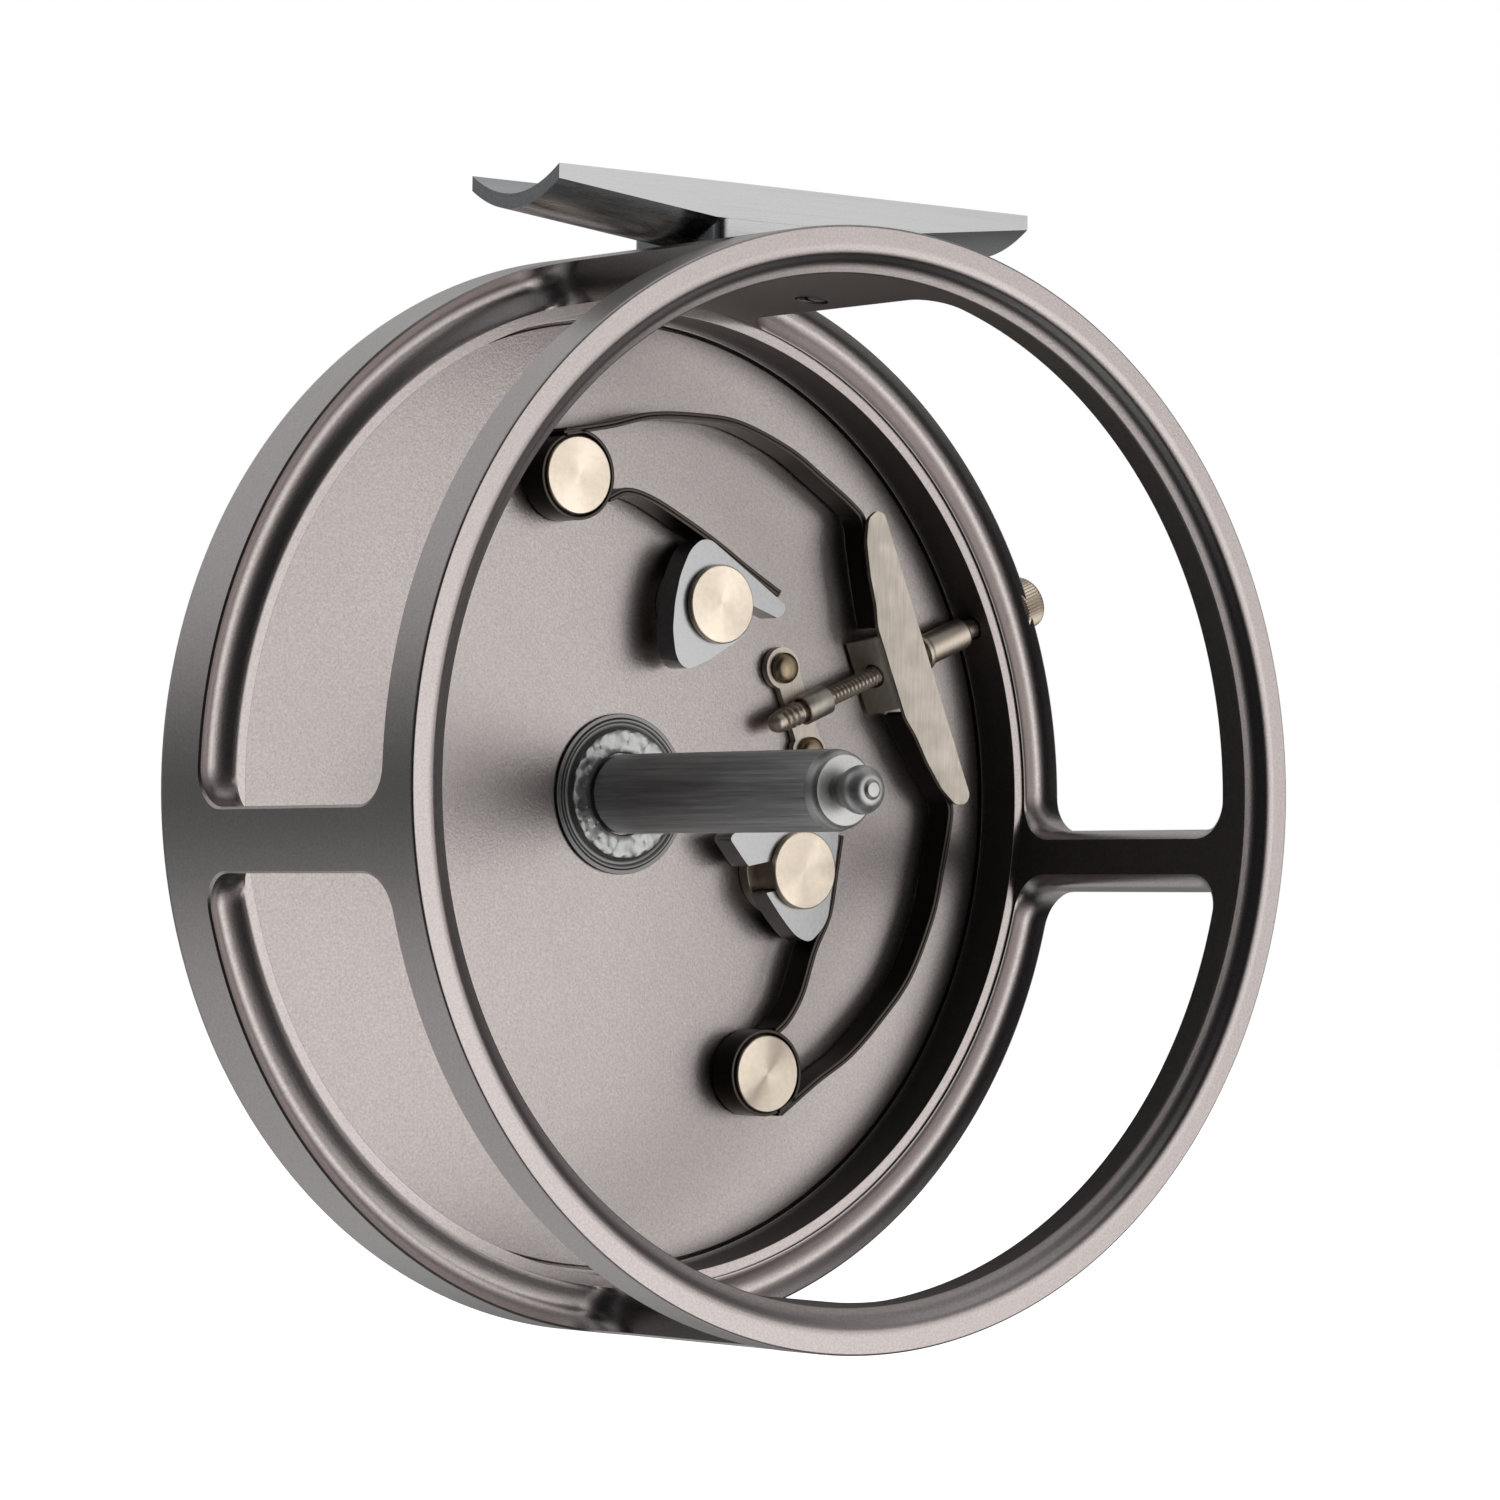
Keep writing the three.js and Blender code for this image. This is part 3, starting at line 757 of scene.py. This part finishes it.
# ---- check: posts ----------------------------------------------------------------------
def make_posts():
    """Turned pins: a low one for each spring, and a taller one with a wider head for each pawl."""
    for name, side in SIDES:
        place = CHECK @ Matrix.Translation((SPRING_POST[0], side * SPRING_POST[1], 0))
        profile = [
            (0, RIVET_TAIL), (1.6, RIVET_TAIL), (1.6, 0.1), (3.8, 0.1), (3.8, 3.6, 0.12),
            (3.7, 3.7, 0.05), (1, 3.62), (0, 3.6),
        ]
        obj = turned(f"{name}_spring_post_pin", profile, place, 96)
        dress(obj, BRASS, "cage", "brass", f"{name}_spring_post")
        place = CHECK @ Matrix.Translation((PAWL_POST[0], side * PAWL_POST[1], 0))
        profile = [
            (0, RIVET_TAIL), (1.6, RIVET_TAIL), (1.6, 0.1), (4.5, 0.1), (4.5, 1.4, 0.1),
            (3.3, 1.4), (3.3, 4.45), (3.9, 4.45, 0.05), (3.9, 4.95, 0.1), (3.75, 5.05, 0.05),
            (1, 4.97), (0, 4.95),
        ]
        obj = turned(f"{name}_pawl_post_pin", profile, place, 96)
        dress(obj, BRASS, "cage", "brass", f"{name}_pawl_post")


# ---- check: pawls ----------------------------------------------------------------------
UPPER_PAWL = [
    (7.4, -3.75), (7.9, -3.15), (7.7, -2.65), (1.5, 6.25), (0.3, 6.65), (-1.3, 6.15),
    (-3.3, 4.35), (-4.9, 2.15), (-6.2, -0.35), (-6.75, -2.65), (-6.6, -3.85), (-5.8, -4.65),
    (-3.3, -4.7), (1.2, -4.15),
]
LOWER_PAWL = [
    (-7.15, 6.15), (-6.3, 3.55), (-5.3, 1.2), (-4.8, -0.9), (-3.95, -3.65), (-3, -5.9),
    (-1.6, -7.15), (0.4, -6.45), (1.5, -5.65), (5.6, 1.05), (6.2, 2.6), (5.5, 3.8), (0, 5.3),
    (-6.5, 6.5),
]


def make_pawl(name, outline, slot_degrees, side):
    """A flat pawl with a bore for its post and a slot that opens the bore on one side."""
    place = CHECK @ Matrix.Translation((PAWL_POST[0], side * PAWL_POST[1], 0))
    obj = prism(f"{name}_pawl_plate", rounded(outline, 0.8, 5), 1.6, 4.3, place)
    bore = prism("bore", circle(3.5, 96), 0, 6, place)
    turn = Matrix.Rotation(math.radians(slot_degrees), 4, "Z")
    slot = prism("slot", [(0, -1.5), (10, -1.5), (10, 1.5), (0, 1.5)], 0, 6, place @ turn)
    cut(obj, bore, slot)
    bevel(obj, 0.12, 2, 50)
    dress(obj, PAWL, f"{name}_pawl", "pawl_steel", f"{name}_pawl")


# ---- check: springs --------------------------------------------------------------------
OUTER_ARM = [
    (4.6, 35.75), (10, 34.6), (15, 33.8), (20, 32), (25, 29.5), (30, 25), (33, 21), (35.6, 17.2),
    (36.4, 15.2), (35.8, 12.4), (35.1, 9), (34.7, 6.8), (34.35, 4.6),
]
UPPER_INNER_ARM = [
    (7.1, 28), (9.5, 27.9), (12, 26.2), (15, 23), (18, 19.4), (20.6, 15.9), (23.6, 12.1),
]
LOWER_INNER_ARM = [
    (7.1, -28.1), (9, -27.5), (11.5, -25.8), (14.6, -22.4), (17.6, -19.8), (20.1, -16), (22, -13),
]


def make_spring(name, outer, inner, side):
    """Two leaves wound round the post, an outer arm to the saddle and an inner arm to the pawl."""
    low, high = SPRING_HEIGHTS
    centre = Vector((SPRING_POST[0], side * SPRING_POST[1]))
    steps = 120
    coil = []
    for k in range(steps + 1):
        angle = side * (math.pi / 2 - 2 * math.pi * k / steps)
        radius = COIL_RADIUS - COIL_TIGHTENING * k / steps
        coil.append(centre + Vector((math.cos(angle), math.sin(angle))) * radius)
    obj = strip(f"{name}_spring_coil", coil, LEAF, low, high, CHECK)
    dress(obj, SPRING, "cage", "spring_steel", f"{name}_spring")
    arms = (("outer", outer, "saddle"), ("inner", inner, f"{name}_pawl"))
    for arm, points, body in arms:
        for leaf, shift in (("front", LEAF * 0.56), ("rear", -LEAF * 0.56)):
            line = offset(smooth_line(points), shift)
            piece = strip(f"{name}_spring_{arm}_{leaf}_leaf", line, LEAF, low, high, CHECK)
            dress(piece, SPRING, None, "spring_steel")
            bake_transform(piece)


# ---- check: regulator ------------------------------------------------------------------
def threaded(name, start, end, minor, major, pitch, matrix):
    """A cylinder with a helical V thread along local z."""
    segments, per_turn = 32, 8
    rows = int((end - start) / pitch * per_turn)
    points, faces = [], []
    for j in range(rows + 1):
        along = start + (end - start) * j / rows
        fade = min(1, (along - start) / pitch, (end - along) / pitch)
        for k in range(segments):
            angle = 2 * math.pi * k / segments
            phase = (along / pitch - k / segments) % 1
            height = 1 - abs(2 * phase - 1)
            radius = minor + (major - minor) * height * max(fade, 0)
            points.append((radius * math.cos(angle), radius * math.sin(angle), along))
    for j in range(rows):
        for k in range(segments):
            n = (k + 1) % segments
            low, high = j * segments, (j + 1) * segments
            faces.append((low + k, low + n, high + n, high + k))
    faces.append(tuple(range(segments)))
    faces.append(tuple(range(rows * segments, (rows + 1) * segments)))
    obj = mesh_object(name, points, faces, matrix)
    tidy_mesh(obj, 50)
    return obj


def on_screw(obj, material, *nodes):
    """Dresses a piece that turns with the regulator screw."""
    dress(obj, material, "regulator", "nickel_silver", *nodes)


def make_screw():
    """The tip in the bracket, two threads, and the neck that runs out through the wall."""
    tip = [(0, 18.5), (0.6, 18.6, 0.3), (1.0, 19.2, 0.3), (1.0, 19.6), (0, 19.6)]
    on_screw(turned("regulator_screw_tip", tip, ALONG_U, 48), SCREW, "regulator_screw")
    coarse = threaded("regulator_coarse_thread", 19.5, 22.8, 0.98, 1.22, 0.7, ALONG_U)
    on_screw(coarse, SCREW)
    fine = threaded("regulator_fine_thread", 22.7, 39.5, 0.78, 0.99, 0.5, ALONG_U)
    on_screw(fine, SCREW)
    neck = [(0, 39.4), (1.0, 39.4), (1.0, 54.3, 0.1), (0, 54.5)]
    on_screw(turned("regulator_neck", neck, ALONG_U, 48), SCREW)


def knurled(radius, along, angle):
    """Straight ridges on the widest part of a knob."""
    if radius <= 2.5:
        return radius, along
    ridge = 0.5 + 0.5 * math.cos(48 * angle)
    return radius - 0.13 * (1 - ridge), along


def make_screw_fittings():
    """The washer, the sleeve and the knob on the screw."""
    washer = [(1.1, 39.2), (1.95, 39.2, 0.1), (1.95, 39.7, 0.1), (1.1, 39.7), (1.1, 39.2)]
    on_screw(turned("regulator_washer_ring", washer, ALONG_U, 64), SCREW, "regulator_washer")
    barrel = [
        (1.1, 39.9), (1.5, 39.9, 0.1), (1.6, 40.2, 0.1), (1.6, 45.1, 0.1), (1.45, 45.4, 0.1),
        (1.1, 45.4), (1.1, 39.9),
    ]
    on_screw(turned("regulator_barrel_sleeve", barrel, ALONG_U, 64), SCREW, "regulator_barrel")
    knob = [
        (1.1, 52.2), (2.3, 52.2, 0.1), (2.68, 52.5, 0.1), (2.7, 53.6), (2.68, 54.6, 0.1),
        (2.3, 55, 0.1), (1.1, 55), (1.1, 52.2),
    ]
    head = turned("regulator_knob_head", knob, ALONG_U, 288, knurled)
    on_screw(head, KNOB, "regulator_knob")


def make_bracket():
    """A strap with two ears and a tube for the screw's tip, and the two rivets that hold it."""
    low, high = 0.15, 0.95
    u, v = RIVET
    outline = [(u - 1.2, -v), (u + 1.8, -v), (u + 1.8, v), (u - 1.2, v)]
    obj = prism("bracket_strap", outline, low, high, CHECK)
    ears = [prism("ear", circle(2.1, 64, (u, side * v)), low, high, CHECK) for side in (1, -1)]
    tube = turned("tube", [(0, 22.9), (1.5, 22.9), (1.5, 26), (0, 26)], ALONG_U, 64)
    join(obj, *ears, tube)
    bore = turned("bore", [(0, 20), (SCREW_HOLE, 20), (SCREW_HOLE, 28), (0, 28)], ALONG_U, 64)
    holes = [prism("hole", circle(1, 32, (u, side * v)), -1, 2, CHECK) for side in (1, -1)]
    cut(obj, bore, *holes)
    bevel(obj, 0.08, 2, 50)
    dress(obj, NICKEL, "cage", "nickel_silver", "screw_bracket")
    for name, side in SIDES:
        profile = [
            (0, RIVET_TAIL), (0.8, RIVET_TAIL), (0.8, 1.1), (1.55, 1.1, 0.05), (1.55, 1.4, 0.15),
            (1.2, 1.78, 0.3), (0.6, 1.96, 0.3), (0, 2),
        ]
        place = CHECK @ Matrix.Translation((u, side * v, 0))
        obj = turned(f"{name}_rivet_head", profile, place, 64)
        dress(obj, AGED, "cage", "aged_brass", f"{name}_bracket_rivet")


def make_saddle():
    """A long sheet face with two legs bent down in the middle, which the screw runs through."""
    face = [
        (38.6, 15.2), (37.8, 15.8), (36.5, 15.4), (35.4, 13.3), (34.6, 10), (34.2, 7),
        (33.6, 4.9), (33.6, -4.9), (34.2, -7), (34.6, -10), (35.4, -13.3), (36.5, -15.4),
        (37.8, -15.8), (38.6, -15.2),
    ]
    obj = prism("saddle_sheet", rounded(face, 0.45, 5), 3.65, 4.15, CHECK)
    channel = [
        (31.9, 0.4, 0.1), (32.5, 0.4, 0.1), (34.2, 3.65, 0.3), (38, 3.65, 0.1), (38, 0.4),
        (38.6, 0.4), (38.6, 4.15, 0.1), (33.5, 4.15, 0.9), (31.9, 0.4),
    ]
    across = CHECK @ Matrix.Rotation(math.pi / 2, 4, "X")
    legs = prism("legs", softened(channel, 8)[:-1], -3.8, 3.8, across)
    join(obj, legs)
    bore = turned("bore", [(0, 30), (SCREW_HOLE, 30), (SCREW_HOLE, 39), (0, 39)], ALONG_U, 64)
    cut(obj, bore)
    bevel(obj, 0.18, 3, 50)
    dress(obj, NICKEL, "saddle", "nickel_silver", "regulator_saddle")


# ---- stage -----------------------------------------------------------------------------
AZIMUTH = math.radians(-38.272)
ELEVATION = math.radians(-1.836)
ROLL = math.radians(0.818)
DISTANCE = 0.5734
LENS = 144.7
TARGET = REEL @ Vector((-0.34, 18.34, 3.96))


def make_camera():
    """A long lens at the front left, a little below the reel's middle and slightly rolled."""
    back = Vector((
        math.sin(AZIMUTH) * math.cos(ELEVATION),
        -math.cos(AZIMUTH) * math.cos(ELEVATION),
        math.sin(ELEVATION),
    ))
    right = Vector((math.cos(AZIMUTH), math.sin(AZIMUTH), 0))
    up = back.cross(right)
    rolled_right = right * math.cos(ROLL) + up * math.sin(ROLL)
    rolled_up = back.cross(rolled_right)
    data = bpy.data.cameras.new("camera")
    data.lens = LENS
    data.sensor_width = 36
    data.clip_start = 0.01
    obj = bpy.data.objects.new("camera", data)
    place = Matrix((rolled_right, rolled_up, back)).transposed().to_4x4()
    place.translation = TARGET + back * DISTANCE
    obj.matrix_world = place
    bpy.context.scene.collection.objects.link(obj)
    bpy.context.scene.camera = obj


def make_floor():
    """A plain white floor that lights nothing, as in a cut-out studio shot."""
    material = bpy.data.materials.new("pale_floor")
    material.use_nodes = True
    surface = material.node_tree.nodes["Principled BSDF"]
    surface.inputs["Base Color"].default_value = (0.9, 0.9, 0.9, 1)
    surface.inputs["Emission Color"].default_value = (1, 1, 1, 1)
    surface.inputs["Emission Strength"].default_value = 1.0
    low, size = -0.45, 14
    corners = [(-size, -size, low), (size, -size, low), (size, size, low), (-size, size, low)]
    obj = mesh_object("floor", corners, [(0, 1, 2, 3)], Matrix.Identity(4))
    obj.data.materials.append(material)
    obj.visible_glossy = False
    obj.visible_diffuse = False


# Soft light from a direction: its colour, and the cosines where it fades in and is full.
LIGHT_LOBES = [
    ((0.5, -0.86, -0.15), (0.96, 0.96, 0.94), 0.71, 0.97),  # the main one, at the front right
    ((0.62, -0.4, 0.68), (0.3, 0.3, 0.3), 0.75, 0.97),  # upper right
    ((-0.1, 0.5, 0.85), (0.5, 0.52, 0.525), 0.45, 0.85),  # above and behind
    ((-0.25, 0.45, -0.85), (0.46, 0.48, 0.485), 0.5, 0.85),  # below and behind
    ((-0.7, 0.7, 0), (0.055, 0.057, 0.058), 0.2, 0.8),  # behind at the left, faint
    ((0.72, 0.68, -0.12), (0.2, 0.2, 0.2), 0.55, 0.95),  # behind at the right
]
# What light comes from every other direction.
DIM = (0.012, 0.013, 0.014)


def lobe_strength(tree, looking, direction, fades_in, full):
    """How much of a lobe's light comes from where a ray is looking, from 0 to 1."""
    dot = tree.nodes.new("ShaderNodeVectorMath")
    dot.operation = "DOT_PRODUCT"
    dot.inputs[1].default_value = Vector(direction).normalized()
    tree.links.new(looking, dot.inputs[0])
    lobe = tree.nodes.new("ShaderNodeMapRange")
    lobe.interpolation_type = "SMOOTHSTEP"
    lobe.inputs["From Min"].default_value = fades_in
    lobe.inputs["From Max"].default_value = full
    tree.links.new(dot.outputs["Value"], lobe.inputs["Value"])
    return lobe.outputs["Result"]


def make_world():
    """White to the camera; as a light, nearly dark with the lobes of soft light added."""
    world = bpy.data.worlds.new("studio")
    world.use_nodes = True
    tree = world.node_tree
    nodes, links = tree.nodes, tree.links
    looking = nodes.new("ShaderNodeTexCoord").outputs["Generated"]
    total = None
    for direction, color, fades_in, full in LIGHT_LOBES:
        add = nodes.new("ShaderNodeVectorMath")
        add.operation = "MULTIPLY_ADD"
        add.inputs[0].default_value = color
        add.inputs[2].default_value = DIM
        links.new(lobe_strength(tree, looking, direction, fades_in, full), add.inputs[1])
        if total:
            links.new(total, add.inputs[2])
        total = add.outputs["Vector"]
    path = nodes.new("ShaderNodeLightPath")
    mix = nodes.new("ShaderNodeMix")
    mix.data_type = "VECTOR"
    factor, dark, white = mix.inputs[0], mix.inputs[4], mix.inputs[5]
    white.default_value = (1, 1, 1)
    links.new(path.outputs["Is Camera Ray"], factor)
    links.new(total, dark)
    links.new(mix.outputs[1], nodes["Background"].inputs["Color"])
    bpy.context.scene.world = world


def make_softbox():
    """One tall softbox in front of the reel, at its right and a little below it."""
    data = bpy.data.lights.new("right_softbox", "AREA")
    data.shape = "RECTANGLE"
    data.size, data.size_y = 0.4, 0.8
    data.energy = 0.85
    obj = bpy.data.objects.new("right_softbox", data)
    centre = REEL @ Vector((0, 20, 0))
    obj.location = centre + Vector((0.75, -1.2, -0.2))
    obj.rotation_euler = (centre - obj.location).to_track_quat("-Z", "Y").to_euler()
    bpy.context.scene.collection.objects.link(obj)


make_camera()
make_cage()
make_back_plate()
make_foot()
make_foot_screws()
make_spindle()
make_collar()
make_spindle_screw()
make_posts()
make_pawl("upper", UPPER_PAWL, -42, 1)
make_pawl("lower", LOWER_PAWL, 168, -1)
make_spring("upper", OUTER_ARM, UPPER_INNER_ARM, 1)
make_spring("lower", [(u, -v) for u, v in OUTER_ARM], LOWER_INNER_ARM, -1)
make_screw()
make_screw_fittings()
make_bracket()
make_saddle()
make_floor()
make_world()
make_softbox()
bpy.context.scene.view_settings.view_transform = "Standard"
